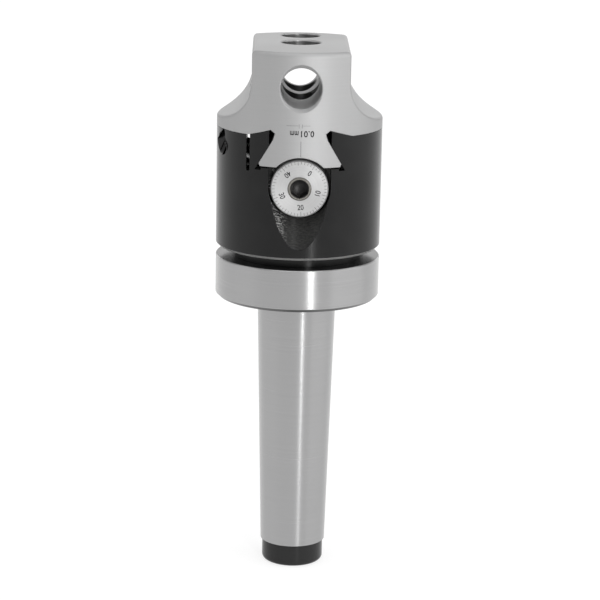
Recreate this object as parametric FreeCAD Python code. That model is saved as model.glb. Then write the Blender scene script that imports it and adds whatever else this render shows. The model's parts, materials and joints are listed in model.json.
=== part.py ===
"""Boring head, 50 mm, for 12 mm bars, on a Morse taper 3 shank with a drawbar thread.

Millimetres. The origin is the centre of the taper's gauge plane, +Z runs up through the
head to its tool face, the dial faces -Y and the tool slide travels along +Y.
"""
import FreeCAD, Part
import math
import os

Vector = FreeCAD.Vector

# Clearances
WAY_GAP = 0.03            # sliding ways, measured square to each face
RUNNING_GAP = 0.05        # shafts and screws that turn, on the radius
SEAT_GAP = 0.02           # parts screwed or pinned together, on the radius
END_PLAY = 0.03           # each axial gap beside the screw's collar

# Morse taper 3 shank
GAUGE_DIAMETER = 23.825
TAPER_PER_MM = 0.05020    # on the diameter
TAPER_END_Z = -74.0
SHANK_END_Z = -81.0
RELIEF_RADIUS = 9.5       # the soft end below the ground taper
RELIEF_ROUND = 1.4
DRAWBAR_RADIUS = 6.0      # M12, outside radius of the thread
DRAWBAR_THREAD_DEPTH = 28.0
DRAWBAR_DRILL_RADIUS = 5.1
DRAWBAR_DRILL_DEPTH = 34.0
DRAWBAR_MOUTH_RADIUS = 6.9

# Flange and the screwed joint to the head
HEAD_RADIUS = 25.0
FLANGE_UNDERSIDE_Z = 5.0
FLANGE_HEIGHT = 12.8
FLANGE_LOWER_CHAMFER = 1.0
FLANGE_TOP_Z = FLANGE_UNDERSIDE_Z + FLANGE_HEIGHT
EDGE_BREAK = 0.3
STUD_RADIUS = 11.0        # M22 x 1.5
STUD_UNDERCUT = 1.08      # radial
STUD_UNDERCUT_LENGTH = 2.0
STUD_CHAMFER = 1.0
STUD_BORE_SPARE = 0.6     # left beyond the end of the stud
STUD_BORE_WALL = 1.9      # between that bore and the feed nut's trough

# Head body
GROOVE_DEPTH = 5.0        # radial, between flange and body
BOSS_HEIGHT = 3.0
BODY_BOTTOM_Z = FLANGE_TOP_Z + BOSS_HEIGHT
BODY_LOWER_CHAMFER = 0.8
BODY_HEIGHT = 36.8        # up to the outer ways
WAY_Z = BODY_BOTTOM_Z + BODY_HEIGHT
SLIDE_HEIGHT = 24.8       # from the outer ways to the tool face
TOOL_FACE_Z = WAY_Z + SLIDE_HEIGHT

# Dovetail tongue of the slide
FLANK_RUN = 1.0 / math.tan(math.radians(60.0))
TONGUE_DEPTH = 8.95       # below the outer ways
TONGUE_BOTTOM_Z = WAY_Z - TONGUE_DEPTH
TONGUE_BOTTOM_HALF = 12.65
TONGUE_BLUNT_HALF = TONGUE_BOTTOM_HALF - 0.5
TONGUE_FOOT_HALF = TONGUE_BLUNT_HALF - 0.35
NECK_HALF = TONGUE_BOTTOM_HALF - 5.2
NECK_TOP_HALF = NECK_HALF + 1.25
NECK_FOOT_Z = WAY_Z - 0.9
NECK_WAIST_Z = WAY_Z + 1.0

# Ways and slot of the body
RIDGE_SLOPE = math.tan(math.radians(17.0))
RIDGE_INNER_HALF = NECK_TOP_HALF + 0.5
LIP_FOOT = 2.15           # from the tongue's bottom edge to the clamping slit
SLIT_WIDTH = 1.0
RIDGE_OUTER_HALF = TONGUE_BOTTOM_HALF + LIP_FOOT + SLIT_WIDTH / 2
FLOOR_Z = TONGUE_BOTTOM_Z - 0.45
FLOOR_RELIEF_Z = FLOOR_Z - 0.7
FLOOR_RELIEF_HALF = TONGUE_FOOT_HALF - 0.3
SLIT_BOTTOM_Z = FLOOR_RELIEF_Z - 0.7

# Lock screws, which cross the clamping slit
LOCK_TILT = math.radians(25.0)
LOCK_SLIT_Z = TONGUE_BOTTOM_Z + 0.75
LOCK_SPACING = 18.4
LOCK_SCREW_LENGTH = HEAD_RADIUS - RIDGE_OUTER_HALF - 1.7
LOCK_POINT_RADIUS = 2.0
LOCK_POINT_LENGTH = 3.0
LOCK_SEAT_DEPTH = 1.55    # past the middle of the slit, into the lip
LOCK_THREAD_START = 1.1   # before the middle of the slit

# Set screws
M6_RADIUS = 3.0
M6_SOCKET = 3.0
M6_SOCKET_DEPTH = 3.0
SCREW_POINT_CHAMFER = 0.6
MOUTH_CHAMFER = 0.5

# Tool slide
SLIDE_HALF_WIDTH = RIDGE_OUTER_HALF - 0.8
FLARE_RADIUS = 12.0
FLARE_BOTTOM_Z = WAY_Z + 3.2
TOP_EDGE_ROUND = 1.4
SIDE_EDGE_ROUND = 1.0
BAR_RADIUS = 6.0
BAR_WALL = 2.5            # between the offset bore and the slide's round end
BAR_OFFSET = HEAD_RADIUS - BAR_RADIUS - BAR_WALL
BAR_BORE_DEPTH = 28.0
BAR_DRILL_POINT = 1.5
BAR_MOUTH_CHAMFER = 0.35
CROSS_BORE_Z = TOOL_FACE_Z - 10.45
BAR_SCREW_LENGTH = 7.0
BAR_SCREW_STANDOFF = 0.5  # from the screw's flat point to the bar

# Feed nut
NUT_HALF_WIDTH = 5.0
NUT_LENGTH = 12.0
NUT_STEM_RADIUS = 4.5
NUT_STEM_HEIGHT = 3.6
NUT_STEM_SPARE = 0.3
NUT_TROUGH_SPARE = 0.4
NUT_FRONT_SPARE = 1.0     # from the trough's front end to the nut at rest
NUT_PIN_RADIUS = 1.5
NUT_PIN_Z = TONGUE_BOTTOM_Z + 1.85
NUT_PIN_LENGTH = 14.0
NUT_PIN_INSET = 1.2       # from the tongue's flank to the end of the pin

# Adjusting screw, its collar and seats
SCREW_Z = FLOOR_Z - NUT_HALF_WIDTH - 1.0
SCREW_RADIUS = 3.5        # M7 x 0.5
STUD_BORE_END_Z = SCREW_Z - NUT_HALF_WIDTH - NUT_TROUGH_SPARE - STUD_BORE_WALL
STUD_END_Z = STUD_BORE_END_Z - STUD_BORE_SPARE
SCREW_FRONT_Y = 1.2 - HEAD_RADIUS
SCREW_REAR_Y = HEAD_RADIUS - 3.5
SCREW_SOCKET = 5.0
SCREW_SOCKET_DEPTH = 4.6
COLLAR_RADIUS = 4.75
COLLAR_WIDTH = 2.0
WASHER_THICKNESS = 0.6
WASHER_BORE_SPARE = 0.3   # on the radius, like the body's shoulder behind it
BUSH_RADIUS = 5.0         # M10 x 0.75
BUSH_LENGTH = 4.1
BUSH_SLOT_WIDTH = 1.6
BUSH_SLOT_DEPTH = 1.2
SHOULDER_LENGTH = 2.0

# Graduated dial and the recess round it
DIAL_RADIUS = 8.5
DIAL_LENGTH = 6.2
DIAL_FACE_Y = 1.6 - HEAD_RADIUS
DIAL_BACK_Y = DIAL_FACE_Y + DIAL_LENGTH
DIAL_BACK_GAP = 0.78      # from the dial to the back of its pocket
DIAL_POCKET_RADIUS = DIAL_RADIUS + 0.7
DIAL_EDGE_CHAMFER = 0.35
DIAL_SCREW_RADIUS = 1.5
DIAL_SCREW_SOCKET = 1.5   # across flats, and as deep
DIAL_SCREW_INSET = 0.9    # below the dial's rim
DIAL_SCREW_Y = DIAL_FACE_Y + 3.2
SLIDE_CUTOUT_RADIUS = DIAL_RADIUS + 1.0
SLIDE_CUTOUT_END_Y = DIAL_BACK_Y + 1.0
SCOOP_START_Z = SCREW_Z + 1.4   # height of the scoop's axis at the front of the head
SCOOP_ANGLE = math.radians(62.0)

# Shank lock
SHANK_LOCK_Z = FLANGE_TOP_Z + 9.7
SHANK_PAD_RADIUS = 2.4
SHANK_PAD_LENGTH = 2.4
SHANK_LOCK_LENGTH = 8.0

# Stations along the adjusting screw, from the dial inwards
CHAMBER_START_Y = DIAL_BACK_Y + DIAL_BACK_GAP
CHAMBER_END_Y = CHAMBER_START_Y + BUSH_LENGTH + 2 * WASHER_THICKNESS + COLLAR_WIDTH + 4 * END_PLAY
SHOULDER_END_Y = CHAMBER_END_Y + SHOULDER_LENGTH
NUT_FRONT_Y = SHOULDER_END_Y + NUT_FRONT_SPARE
NUT_CENTRE_Y = NUT_FRONT_Y + NUT_LENGTH / 2

LOCK_AXIS = Vector(-math.cos(LOCK_TILT), 0, math.sin(LOCK_TILT))
X_AXIS = Vector(1, 0, 0)
Y_AXIS = Vector(0, 1, 0)
Z_AXIS = Vector(0, 0, 1)
FAR = 60.0


def taper_radius(z):
    """Radius of the ground taper at a height."""
    return 0.5 * (GAUGE_DIAMETER + TAPER_PER_MM * z)


def flank_half(z):
    """Half width of the slide's dovetail tongue at a height."""
    return TONGUE_BOTTOM_HALF - (z - TONGUE_BOTTOM_Z) * FLANK_RUN


def way_height(half):
    """Height of the body's ways at a distance from the middle."""
    return WAY_Z + max(0.0, RIDGE_OUTER_HALF - half) * RIDGE_SLOPE


def box(x, y, z):
    """Box from three (low, high) pairs."""
    corner = Vector(x[0], y[0], z[0])
    return Part.makeBox(x[1] - x[0], y[1] - y[0], z[1] - z[0], corner)


def rod(radius, start, end):
    """Cylinder between two points."""
    run = end - start
    return Part.makeCylinder(radius, run.Length, start, run)


def frustum(radius, end_radius, start, end):
    """Cone frustum between two points."""
    run = end - start
    return Part.makeCone(radius, end_radius, run.Length, start, run)


def section(points):
    """Closed face in the XZ plane through (x, z) points."""
    corners = [Vector(x, 0, z) for x, z in points]
    return Part.Face(Part.makePolygon(corners + corners[:1]))


def bar_along_y(face):
    """An XZ face swept right through the head along Y."""
    placed = face.copy()
    placed.translate(Vector(0, -FAR, 0))
    return placed.extrude(Vector(0, 2 * FAR, 0))


def turned_about_z(points):
    """Solid of revolution about Z from (radius, z) points."""
    return section(points).revolve(Vector(0, 0, 0), Z_AXIS, 360)


def on_screw(y):
    """Point on the adjusting screw's axis."""
    return Vector(0, y, SCREW_Z)


def turned_about_screw(points):
    """Solid of revolution about the adjusting screw's axis from (radius, y) points."""
    corners = [Vector(radius, y, SCREW_Z) for radius, y in points]
    face = Part.Face(Part.makePolygon(corners + corners[:1]))
    return face.revolve(on_screw(0), Y_AXIS, 360)


def hexagon(across_flats, start, direction, depth):
    """Hexagonal prism that runs from a point along a direction."""
    corner_radius = across_flats / math.sqrt(3.0)
    corners = []
    for step in range(6):
        angle = math.radians(60 * step)
        corners.append(Vector(corner_radius * math.cos(angle), corner_radius * math.sin(angle), 0))
    prism = Part.Face(Part.makePolygon(corners + corners[:1])).extrude(Vector(0, 0, depth))
    turn = FreeCAD.Rotation(Z_AXIS, direction)
    prism.Placement = FreeCAD.Placement(start, turn)
    return prism


def mirrored(points):
    """Left-hand points followed by their mirror images, for a symmetrical outline."""
    return points + [(-x, z) for x, z in reversed(points)]


def set_screw(radius, tip, direction, length, socket, socket_depth):
    """Flat-pointed set screw from its tip along a direction, with a hexagon socket."""
    head = tip + direction * length
    shoulder = tip + direction * SCREW_POINT_CHAMFER
    body = rod(radius, shoulder, head)
    point = frustum(radius - SCREW_POINT_CHAMFER, radius, tip, shoulder)
    key = hexagon(socket, head - direction * socket_depth, direction, socket_depth)
    return body.fuse(point).cut(key).removeSplitter()


def threaded_hole(radius, bottom, mouth):
    """Hole from its bottom to its mouth, with the mouth chamfered and open beyond."""
    direction = (mouth - bottom).normalize()
    chamfer = frustum(radius, radius + MOUTH_CHAMFER, mouth - direction * MOUTH_CHAMFER, mouth)
    beyond = rod(radius + MOUTH_CHAMFER, mouth, mouth + direction * 4.0)
    return rod(radius, bottom, mouth).fuse(chamfer).fuse(beyond)


def lock_point(y, distance):
    """Point on a lock screw's axis, measured outwards from the middle of the slit."""
    return Vector(-RIDGE_OUTER_HALF, y, LOCK_SLIT_Z) + LOCK_AXIS * distance


def lock_hole(y):
    """Threaded hole through the body's side, with the point's seat in the lip."""
    seat_end = lock_point(y, LOCK_THREAD_START + 1)
    seat = rod(LOCK_POINT_RADIUS + RUNNING_GAP, lock_point(y, -LOCK_SEAT_DEPTH), seat_end)
    thread = rod(M6_RADIUS, lock_point(y, LOCK_THREAD_START), lock_point(y, FAR / 3))
    side_x = math.sqrt(HEAD_RADIUS ** 2 - y ** 2)
    surface = (side_x - RIDGE_OUTER_HALF) / math.cos(LOCK_TILT)
    chamfer = frustum(M6_RADIUS, M6_RADIUS + 4 * MOUTH_CHAMFER,
                      lock_point(y, surface - MOUTH_CHAMFER), lock_point(y, surface + 3 * MOUTH_CHAMFER))
    return seat.fuse(thread).fuse(chamfer)


def body_section():
    """Cross-section of the body with its ways and dovetail slot."""
    gap_x = WAY_GAP / math.sin(math.radians(60.0))
    lip_foot_z = TONGUE_BOTTOM_Z + (TONGUE_BOTTOM_HALF + gap_x - RIDGE_INNER_HALF) / FLANK_RUN
    left = [
        (-FAR, FLANGE_TOP_Z),
        (-FAR, WAY_Z),
        (-RIDGE_OUTER_HALF, WAY_Z),
        (-RIDGE_INNER_HALF, way_height(RIDGE_INNER_HALF)),
        (-RIDGE_INNER_HALF, lip_foot_z),
        (-flank_half(FLOOR_RELIEF_Z) - gap_x, FLOOR_RELIEF_Z),
        (-FLOOR_RELIEF_HALF, FLOOR_RELIEF_Z),
        (-FLOOR_RELIEF_HALF, FLOOR_Z),
    ]
    return section(mirrored(left))


def body_blank():
    """Turned blank with the boss that seats on the flange."""
    top = WAY_Z + HEAD_RADIUS * RIDGE_SLOPE
    return turned_about_z([
        (0, FLANGE_TOP_Z),
        (HEAD_RADIUS - GROOVE_DEPTH, FLANGE_TOP_Z),
        (HEAD_RADIUS - GROOVE_DEPTH, BODY_BOTTOM_Z),
        (HEAD_RADIUS - BODY_LOWER_CHAMFER, BODY_BOTTOM_Z),
        (HEAD_RADIUS, BODY_BOTTOM_Z + BODY_LOWER_CHAMFER),
        (HEAD_RADIUS, top),
        (0, top),
    ])


def dial_recess():
    """Pocket for the dial, open at the top, with the scoop that runs out below it."""
    pocket = rod(DIAL_POCKET_RADIUS, on_screw(-FAR), on_screw(CHAMBER_START_Y))
    walls = (-DIAL_POCKET_RADIUS, DIAL_POCKET_RADIUS)
    opening = box(walls, (-FAR, CHAMBER_START_Y), (SCREW_Z, FLOOR_Z + 1))
    start = Vector(0, -HEAD_RADIUS, SCOOP_START_Z)
    run = Vector(0, -math.cos(SCOOP_ANGLE), -math.sin(SCOOP_ANGLE))
    scoop = rod(DIAL_POCKET_RADIUS, start, start + run * FAR)
    return pocket.fuse(opening).fuse(scoop)


def screw_seats():
    """Bores of the adjusting screw and the trough that the feed nut travels in."""
    chamber = rod(BUSH_RADIUS, on_screw(CHAMBER_START_Y - 1), on_screw(CHAMBER_END_Y))
    clearance = SCREW_RADIUS + WASHER_BORE_SPARE
    shoulder = rod(clearance, on_screw(CHAMBER_END_Y - 1), on_screw(SHOULDER_END_Y + 1))
    half = NUT_HALF_WIDTH + NUT_TROUGH_SPARE
    round_bottom = rod(half, on_screw(SHOULDER_END_Y), on_screw(FAR))
    sides = box((-half, half), (SHOULDER_END_Y, FAR), (SCREW_Z, FLOOR_Z + 1))
    return chamber.fuse(shoulder).fuse(round_bottom).fuse(sides)


def shank_seat():
    """Threaded bore for the shank's stud and the cross hole of its lock screw."""
    foot = Vector(0, 0, FLANGE_TOP_Z)
    bore = rod(STUD_RADIUS, foot - Z_AXIS, Vector(0, 0, STUD_BORE_END_Z))
    mouth = frustum(STUD_RADIUS + STUD_CHAMFER, STUD_RADIUS, foot, foot + Z_AXIS * STUD_CHAMFER)
    surface = Vector(0, HEAD_RADIUS, SHANK_LOCK_Z)
    return bore.fuse(mouth).fuse(threaded_hole(M6_RADIUS, Vector(0, STUD_RADIUS / 2, SHANK_LOCK_Z), surface))


def head_body():
    """Black steel body with the dovetail slot, dial recess and screw bores."""
    slit_x = (-RIDGE_OUTER_HALF - SLIT_WIDTH / 2, -RIDGE_OUTER_HALF + SLIT_WIDTH / 2)
    slit = box(slit_x, (-FAR, FAR), (SLIT_BOTTOM_Z, 2 * FAR))
    solid = body_blank().common(bar_along_y(body_section()))
    cuts = [slit, dial_recess(), screw_seats(), shank_seat()]
    cuts.append(lock_hole(-LOCK_SPACING / 2))
    cuts.append(lock_hole(LOCK_SPACING / 2))
    return solid.cut(cuts).removeSplitter()


def taper_shank():
    """Shank in one piece: stud, flange, ground taper and the threaded drawbar hole."""
    stud_radius = STUD_RADIUS - SEAT_GAP
    outline = [
        (0, STUD_END_Z),
        (stud_radius - STUD_CHAMFER, STUD_END_Z),
        (stud_radius, STUD_END_Z - STUD_CHAMFER),
        (stud_radius, FLANGE_TOP_Z + STUD_UNDERCUT_LENGTH + STUD_UNDERCUT / 2),
        (stud_radius - STUD_UNDERCUT, FLANGE_TOP_Z + STUD_UNDERCUT_LENGTH),
        (stud_radius - STUD_UNDERCUT, FLANGE_TOP_Z),
        (HEAD_RADIUS - EDGE_BREAK, FLANGE_TOP_Z),
        (HEAD_RADIUS, FLANGE_TOP_Z - EDGE_BREAK),
        (HEAD_RADIUS, FLANGE_UNDERSIDE_Z + FLANGE_LOWER_CHAMFER),
        (HEAD_RADIUS - FLANGE_LOWER_CHAMFER, FLANGE_UNDERSIDE_Z),
        (taper_radius(FLANGE_UNDERSIDE_Z), FLANGE_UNDERSIDE_Z),
        (taper_radius(TAPER_END_Z), TAPER_END_Z),
        (RELIEF_RADIUS, TAPER_END_Z - EDGE_BREAK),
        (RELIEF_RADIUS, SHANK_END_Z),
        (0, SHANK_END_Z),
    ]
    solid = turned_about_z(outline)
    rim = [edge for edge in solid.Edges if is_ring(edge, RELIEF_RADIUS, SHANK_END_Z)]
    return solid.makeFillet(RELIEF_ROUND, rim).cut(drawbar_hole()).removeSplitter()


def is_ring(edge, radius, z):
    """Whether an edge is the full circle of a radius about Z at a height."""
    centre = edge.BoundBox.Center
    width = edge.BoundBox.XLength
    return abs(centre.z - z) < 1e-4 and abs(width - 2 * radius) < 1e-3


def drawbar_hole():
    """Threaded drawbar hole with its tapping drill below and a turned mouth."""
    mouth = Vector(0, 0, SHANK_END_Z)
    thread_end = Vector(0, 0, SHANK_END_Z + DRAWBAR_THREAD_DEPTH)
    drill_end = Vector(0, 0, SHANK_END_Z + DRAWBAR_DRILL_DEPTH)
    cone_end = drill_end + Z_AXIS * DRAWBAR_DRILL_RADIUS / math.tan(math.radians(59.0))
    mouth_depth = (DRAWBAR_MOUTH_RADIUS - DRAWBAR_RADIUS) / math.tan(math.radians(30.0))
    hole = rod(DRAWBAR_RADIUS, mouth, thread_end)
    hole = hole.fuse(rod(DRAWBAR_DRILL_RADIUS, thread_end - Z_AXIS, drill_end))
    hole = hole.fuse(frustum(DRAWBAR_DRILL_RADIUS, 0, drill_end, cone_end))
    return hole.fuse(frustum(DRAWBAR_MOUTH_RADIUS, DRAWBAR_RADIUS, mouth, mouth + Z_AXIS * mouth_depth))


def shank_lock_pad():
    """Brass pad that presses on the shank's thread."""
    start = Vector(0, STUD_RADIUS, SHANK_LOCK_Z)
    return rod(SHANK_PAD_RADIUS, start, start + Y_AXIS * SHANK_PAD_LENGTH)


def shank_lock_screw():
    """Set screw that holds the pad against the shank's thread."""
    tip = Vector(0, STUD_RADIUS + SHANK_PAD_LENGTH, SHANK_LOCK_Z)
    radius = M6_RADIUS - SEAT_GAP
    return set_screw(radius, tip, Y_AXIS, SHANK_LOCK_LENGTH, M6_SOCKET, M6_SOCKET_DEPTH)


def slide_section():
    """Cross-section of the tool slide: tongue, ways, flared sides and top."""
    gap = WAY_GAP
    flare_x = SLIDE_HALF_WIDTH + FLARE_RADIUS
    flare_z = FLARE_BOTTOM_Z + FLARE_RADIUS
    left = [
        (-TONGUE_FOOT_HALF, TONGUE_BOTTOM_Z),
        (-TONGUE_BLUNT_HALF, TONGUE_BOTTOM_Z + (TONGUE_BOTTOM_HALF - TONGUE_BLUNT_HALF) / FLANK_RUN),
        (-flank_half(NECK_FOOT_Z), NECK_FOOT_Z),
        (-NECK_HALF, NECK_WAIST_Z),
        (-NECK_TOP_HALF, way_height(NECK_TOP_HALF) + gap),
        (-RIDGE_OUTER_HALF, WAY_Z + gap),
        (-FAR, WAY_Z + gap),
        (-FAR, FLARE_BOTTOM_Z),
        (-flare_x, FLARE_BOTTOM_Z),
        (-SLIDE_HALF_WIDTH, flare_z),
        (-SLIDE_HALF_WIDTH, TOOL_FACE_Z),
    ]
    plain = bar_along_y(section(mirrored(left)))
    for side in (-1, 1):
        centre = Vector(side * flare_x, -FAR, flare_z)
        plain = plain.cut(Part.makeCylinder(FLARE_RADIUS, 2 * FAR, centre, Y_AXIS))
    return plain


def on_round_end(edge):
    """Whether the middle of an edge lies on the head's outside diameter, above the ways."""
    middle = edge.valueAt((edge.FirstParameter + edge.LastParameter) / 2)
    return middle.z > FLARE_BOTTOM_Z and abs(math.hypot(middle.x, middle.y) - HEAD_RADIUS) < 1e-3


def at_tool_face(edge):
    """Whether an edge lies in the plane of the tool face."""
    return abs(edge.BoundBox.ZMin - TOOL_FACE_Z) < 1e-4


def slide_blank():
    """Slide turned to the head's diameter, with its flared sides' and tool face's edges rounded."""
    turned = rod(HEAD_RADIUS, Vector(0, 0, TONGUE_BOTTOM_Z - 1), Vector(0, 0, TOOL_FACE_Z))
    blank = slide_section().common(turned).removeSplitter()
    sides = [edge for edge in blank.Edges if on_round_end(edge) and not at_tool_face(edge)]
    rounded = blank.makeFillet(SIDE_EDGE_ROUND, sides)
    rim = [edge for edge in rounded.Edges if at_tool_face(edge)]
    return rounded.makeFillet(TOP_EDGE_ROUND, rim)


def bar_bores():
    """Two bores down from the tool face and one right across the slide."""
    cuts = []
    for y in (0.0, BAR_OFFSET):
        mouth = Vector(0, y, TOOL_FACE_Z)
        bottom = mouth - Z_AXIS * BAR_BORE_DEPTH
        cone = frustum(0, BAR_RADIUS, bottom - Z_AXIS * BAR_DRILL_POINT, bottom)
        flare = frustum(BAR_RADIUS, BAR_RADIUS + 2 * BAR_MOUTH_CHAMFER,
                        mouth - Z_AXIS * BAR_MOUTH_CHAMFER, mouth + Z_AXIS * BAR_MOUTH_CHAMFER)
        cuts += [rod(BAR_RADIUS, bottom, mouth), cone, flare]
    cuts.append(rod(BAR_RADIUS, Vector(0, -FAR, CROSS_BORE_Z), Vector(0, FAR, CROSS_BORE_Z)))
    return cuts + cross_bore_mouths()


def cross_bore_mouths():
    """Chamfers of the cross bore where it leaves the slide's two round ends."""
    mouths = []
    for side in (-1, 1):
        surface = Vector(0, side * HEAD_RADIUS, CROSS_BORE_Z)
        outward = Y_AXIS * side
        drop = HEAD_RADIUS - math.sqrt(HEAD_RADIUS ** 2 - BAR_RADIUS ** 2)
        inner = surface - outward * (drop + BAR_MOUTH_CHAMFER)
        mouths.append(frustum(BAR_RADIUS, BAR_RADIUS + drop + 2 * BAR_MOUTH_CHAMFER,
                              inner, surface + outward * BAR_MOUTH_CHAMFER))
    return mouths


def bar_screw_stations():
    """Y positions of the bar clamping screws."""
    return {"front": -BAR_OFFSET, "centre": 0.0, "rear": BAR_OFFSET}


def bar_screw_holes():
    """Threaded holes from the slide's left flank into the bores."""
    holes = []
    for y in bar_screw_stations().values():
        bottom = Vector(-BAR_RADIUS + 1, y, CROSS_BORE_Z)
        mouth = Vector(-SLIDE_HALF_WIDTH, y, CROSS_BORE_Z)
        holes.append(threaded_hole(M6_RADIUS, bottom, mouth))
    return holes


def nut_pin_start():
    """Outer end of the nut's pin, a little inside the tongue's left flank."""
    return Vector(NUT_PIN_INSET - flank_half(NUT_PIN_Z), NUT_CENTRE_Y, NUT_PIN_Z)


def nut_seat():
    """Hole for the nut's stem and the pin that crosses it."""
    foot = Vector(0, NUT_CENTRE_Y, TONGUE_BOTTOM_Z - 1)
    top = Vector(0, NUT_CENTRE_Y, TONGUE_BOTTOM_Z + NUT_STEM_HEIGHT + NUT_STEM_SPARE)
    stem = rod(NUT_STEM_RADIUS, foot, top)
    start = Vector(-FAR / 2, NUT_CENTRE_Y, NUT_PIN_Z)
    end = nut_pin_start() + X_AXIS * (NUT_PIN_LENGTH + NUT_PIN_RADIUS)
    return stem.fuse(rod(NUT_PIN_RADIUS + SEAT_GAP, start, end))


def dial_cutout():
    """Round clearance over the dial in the slide's lower front."""
    return rod(SLIDE_CUTOUT_RADIUS, on_screw(-FAR), on_screw(SLIDE_CUTOUT_END_Y))


def tool_slide():
    """Bright steel slide that carries the boring bar."""
    cuts = bar_bores() + bar_screw_holes() + [nut_seat(), dial_cutout()]
    return slide_blank().cut(cuts).removeSplitter()


def feed_nut():
    """Bronze nut pinned under the slide."""
    half = NUT_HALF_WIDTH
    rear_y = NUT_FRONT_Y + NUT_LENGTH
    block = box((-half, half), (NUT_FRONT_Y, rear_y), (SCREW_Z, TONGUE_BOTTOM_Z))
    foot = rod(half, on_screw(NUT_FRONT_Y), on_screw(rear_y))
    top = Vector(0, NUT_CENTRE_Y, TONGUE_BOTTOM_Z)
    stem = rod(NUT_STEM_RADIUS - SEAT_GAP, top, top + Z_AXIS * NUT_STEM_HEIGHT)
    thread = rod(SCREW_RADIUS + RUNNING_GAP, on_screw(-FAR), on_screw(FAR))
    middle = nut_pin_start()
    pin = rod(NUT_PIN_RADIUS + SEAT_GAP, middle - X_AXIS * FAR, middle + X_AXIS * FAR)
    return block.fuse(foot).fuse(stem).cut([thread, pin]).removeSplitter()


def nut_pin():
    """Dowel that holds the nut's stem in the slide."""
    return rod(NUT_PIN_RADIUS, nut_pin_start(), nut_pin_start() + X_AXIS * NUT_PIN_LENGTH)


def bar_screw(y):
    """Set screw that clamps a boring bar."""
    tip = Vector(-BAR_RADIUS - BAR_SCREW_STANDOFF, y, CROSS_BORE_Z)
    radius = M6_RADIUS - RUNNING_GAP
    return set_screw(radius, tip, -X_AXIS, BAR_SCREW_LENGTH, M6_SOCKET, M6_SOCKET_DEPTH)


def lock_screw(y):
    """Set screw with a turned point that presses the lip against the slide."""
    tip_at = RUNNING_GAP * 2 - LOCK_SEAT_DEPTH
    shoulder_at = tip_at + LOCK_POINT_LENGTH
    head_at = tip_at + LOCK_SCREW_LENGTH
    radius = M6_RADIUS - RUNNING_GAP
    point = rod(LOCK_POINT_RADIUS, lock_point(y, tip_at), lock_point(y, shoulder_at))
    cone = frustum(LOCK_POINT_RADIUS, radius, lock_point(y, shoulder_at),
                   lock_point(y, shoulder_at + SCREW_POINT_CHAMFER))
    body = rod(radius, lock_point(y, shoulder_at + SCREW_POINT_CHAMFER), lock_point(y, head_at))
    key = hexagon(M6_SOCKET, lock_point(y, head_at - M6_SOCKET_DEPTH), LOCK_AXIS, M6_SOCKET_DEPTH)
    return point.fuse(cone).fuse(body).cut(key).removeSplitter()


def bush_end_y():
    """Y of the bush's inner end."""
    return CHAMBER_START_Y + BUSH_LENGTH


def front_washer_y():
    """Y of the front thrust washer's outer face."""
    return bush_end_y() + END_PLAY


def collar_y():
    """Y of the collar's front face."""
    return front_washer_y() + WASHER_THICKNESS + END_PLAY


def screw_bush():
    """Threaded ring that keeps the adjusting screw in the body."""
    ring = rod(BUSH_RADIUS - SEAT_GAP, on_screw(CHAMBER_START_Y), on_screw(bush_end_y()))
    bore = rod(SCREW_RADIUS + RUNNING_GAP, on_screw(-FAR), on_screw(FAR))
    half = BUSH_SLOT_WIDTH / 2
    depth = (CHAMBER_START_Y - 1, CHAMBER_START_Y + BUSH_SLOT_DEPTH)
    slot = box((-FAR, FAR), depth, (SCREW_Z - half, SCREW_Z + half))
    return ring.cut([bore, slot])


def thrust_washer(y):
    """Bronze washer beside the adjusting screw's collar, from its front face."""
    inner = SCREW_RADIUS + WASHER_BORE_SPARE
    outer = BUSH_RADIUS - 2 * RUNNING_GAP
    far = y + WASHER_THICKNESS
    return turned_about_screw([(inner, y), (outer, y), (outer, far), (inner, far)])


def adjusting_screw():
    """Fine-pitch screw with its collar and hexagon socket."""
    solid = turned_about_screw([
        (0, SCREW_FRONT_Y),
        (SCREW_RADIUS - EDGE_BREAK, SCREW_FRONT_Y),
        (SCREW_RADIUS, SCREW_FRONT_Y + EDGE_BREAK),
        (SCREW_RADIUS, collar_y()),
        (COLLAR_RADIUS, collar_y()),
        (COLLAR_RADIUS, collar_y() + COLLAR_WIDTH),
        (SCREW_RADIUS, collar_y() + COLLAR_WIDTH),
        (SCREW_RADIUS, SCREW_REAR_Y - SCREW_POINT_CHAMFER),
        (SCREW_RADIUS - SCREW_POINT_CHAMFER, SCREW_REAR_Y),
        (0, SCREW_REAR_Y),
    ])
    front = on_screw(SCREW_FRONT_Y)
    key = hexagon(SCREW_SOCKET, front + Y_AXIS * SCREW_SOCKET_DEPTH, -Y_AXIS, SCREW_SOCKET_DEPTH)
    corner_radius = SCREW_SOCKET / math.sqrt(3.0)
    mouth = frustum(corner_radius, corner_radius - EDGE_BREAK, front, front + Y_AXIS * EDGE_BREAK)
    return solid.cut([key, mouth]).removeSplitter()


def graduated_dial():
    """Dial ring held on the front of the adjusting screw."""
    inner = SCREW_RADIUS + SEAT_GAP
    ring = turned_about_screw([
        (inner, DIAL_FACE_Y),
        (DIAL_RADIUS - DIAL_EDGE_CHAMFER, DIAL_FACE_Y),
        (DIAL_RADIUS, DIAL_FACE_Y + DIAL_EDGE_CHAMFER),
        (DIAL_RADIUS, DIAL_BACK_Y - DIAL_EDGE_CHAMFER),
        (DIAL_RADIUS - DIAL_EDGE_CHAMFER, DIAL_BACK_Y),
        (inner, DIAL_BACK_Y),
    ])
    start = on_screw(DIAL_SCREW_Y)
    return ring.cut(rod(DIAL_SCREW_RADIUS, start, start + X_AXIS * FAR))


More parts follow.
